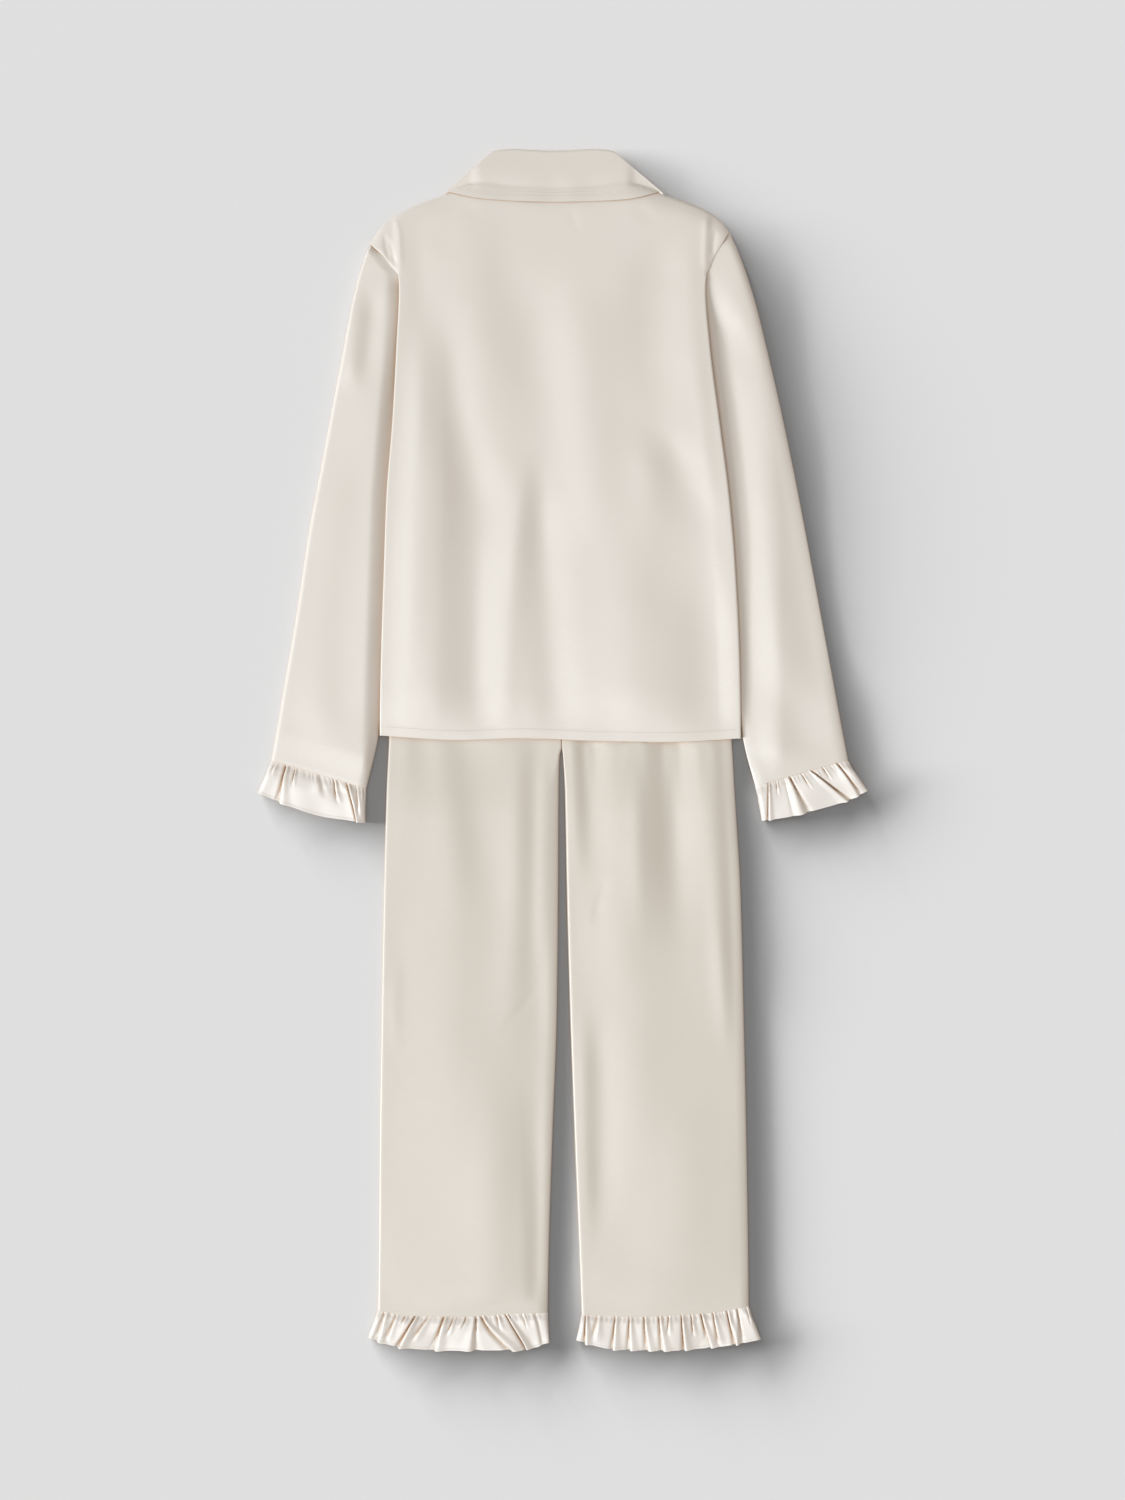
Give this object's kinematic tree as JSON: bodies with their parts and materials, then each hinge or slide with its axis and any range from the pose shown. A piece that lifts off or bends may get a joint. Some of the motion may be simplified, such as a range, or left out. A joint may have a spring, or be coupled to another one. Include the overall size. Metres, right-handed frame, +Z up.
{
  "type": "pyjama set",
  "caption": "Satin pyjama set laid flat face down: long-sleeved shirt with turned-down collar and ruffled cuffs over long trousers with ruffled hems.",
  "frame": {"origin": "centre of the footprint of the whole laid-out set, on the surface it lies on", "axes": "+Z up, away from the surface; +Y from the trouser hems towards the collar; +X to the right as seen from above, towards the right sleeve of the picture"},
  "size_m": [0.634, 1.2479, 0.0094],
  "materials": {
    "satin": "ivory woven satin, smooth face with a soft sheen",
    "button": "moulded ivory resin, polished"
  },
  "bodies": {
    "root": {"back": "satin", "front_left": "satin", "front_right": "satin", "collar": "satin", "sleeve_left": "satin", "sleeve_right": "satin", "cuff_ruffle_left": "satin", "cuff_ruffle_right": "satin", "leg_back_left": "satin", "leg_back_right": "satin", "leg_front_left": "satin", "leg_front_right": "satin", "waistband": "satin", "leg_ruffle_left": "satin", "leg_ruffle_right": "satin", "button_1": "button", "button_2": "button", "button_3": "button", "button_4": "button", "button_5": "button"}
  },
  "joints": []
}
